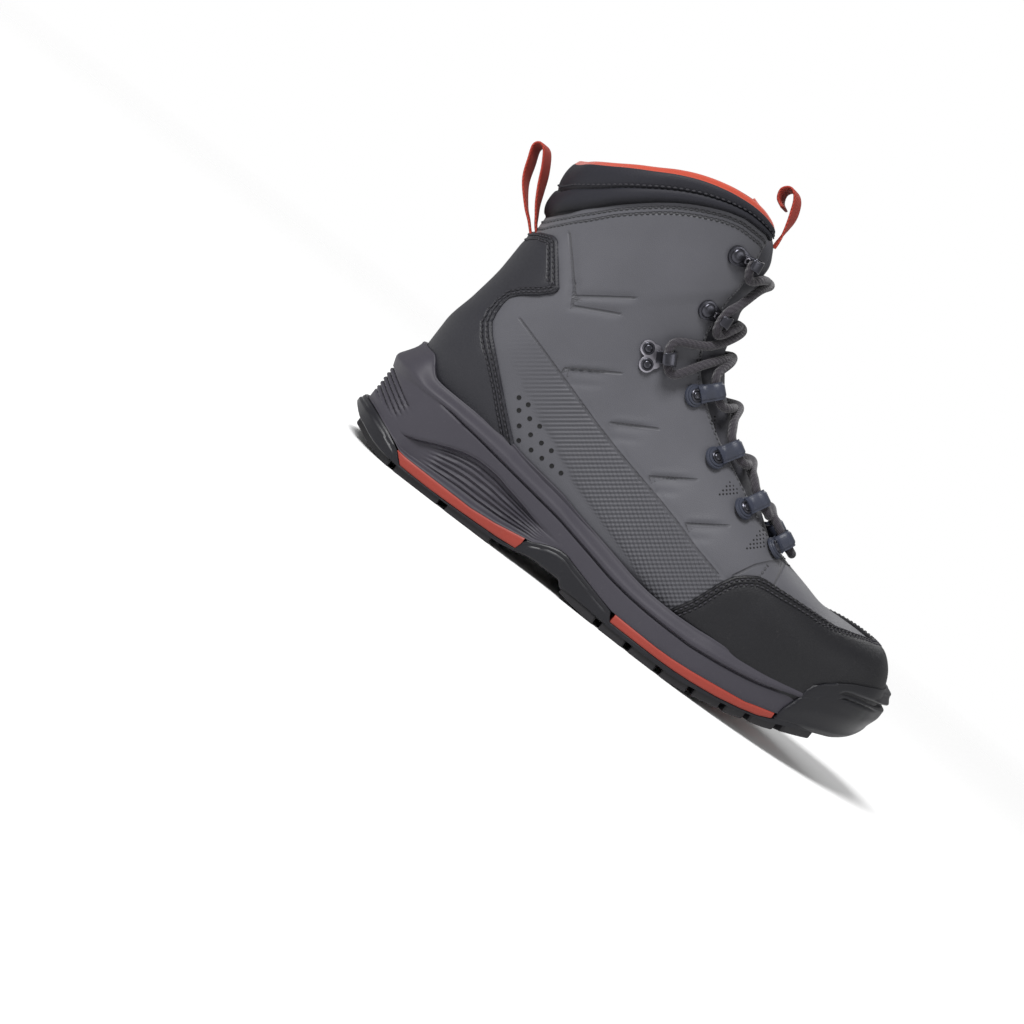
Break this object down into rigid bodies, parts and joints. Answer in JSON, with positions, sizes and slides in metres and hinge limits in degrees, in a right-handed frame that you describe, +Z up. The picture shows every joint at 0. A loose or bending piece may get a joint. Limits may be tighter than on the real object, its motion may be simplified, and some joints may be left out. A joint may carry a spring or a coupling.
{
  "type": "wading boot",
  "caption": "Lace-up wading boot with a padded collar cuff, black toe cap and heel counter, hook lacing and a lugged rubber sole with a toe bumper",
  "frame": {"origin": "middle of the boot's bounding box, on the ground plane under the lugs", "axes": "+X from heel to toe, +Y toward the inner (medial) side, +Z up from the floor"},
  "size_m": [0.3274, 0.1188, 0.237],
  "materials": {
    "black_rubber": "moulded black rubber, satin, fine matt texture, scuffed edges",
    "midsole_foam": "dark purple-grey moulded foam, soft satin",
    "orange_rubber": "orange rubber, satin",
    "grey_upper": "grey coated synthetic, matt with a fine grain",
    "footbed": "dark brushed fabric over foam",
    "black_leather": "black coated leather, fine grain, satin",
    "ghillie_webbing": "navy-grey moulded loop",
    "hook_metal": "gunmetal lacquered hook",
    "lace_cord": "round braided cord, dark purple-grey",
    "orange_webbing": "ribbed orange webbing"
  },
  "bodies": {
    "root": {"outsole": "black_rubber", "midsole": "midsole_foam", "heel_plate": "orange_rubber", "forefoot_plate": "orange_rubber", "upper": "grey_upper", "insole": "footbed", "tongue": "grey_upper", "toe_cap": "black_leather", "heel_counter": "black_leather", "collar_cuff": "black_leather", "ghillie_lateral_1": "ghillie_webbing", "ghillie_lateral_2": "ghillie_webbing", "ghillie_lateral_3": "ghillie_webbing", "ghillie_lateral_4": "ghillie_webbing", "lock_hook_lateral": "hook_metal", "speed_hook_lateral_low": "hook_metal", "speed_hook_lateral_high": "hook_metal", "ghillie_medial_1": "ghillie_webbing", "ghillie_medial_2": "ghillie_webbing", "ghillie_medial_3": "ghillie_webbing", "ghillie_medial_4": "ghillie_webbing", "lock_hook_medial": "hook_metal", "speed_hook_medial_low": "hook_metal", "speed_hook_medial_high": "hook_metal", "lace": "lace_cord", "heel_pull_loop": "orange_webbing", "tongue_pull_loop": "orange_webbing"}
  },
  "joints": []
}
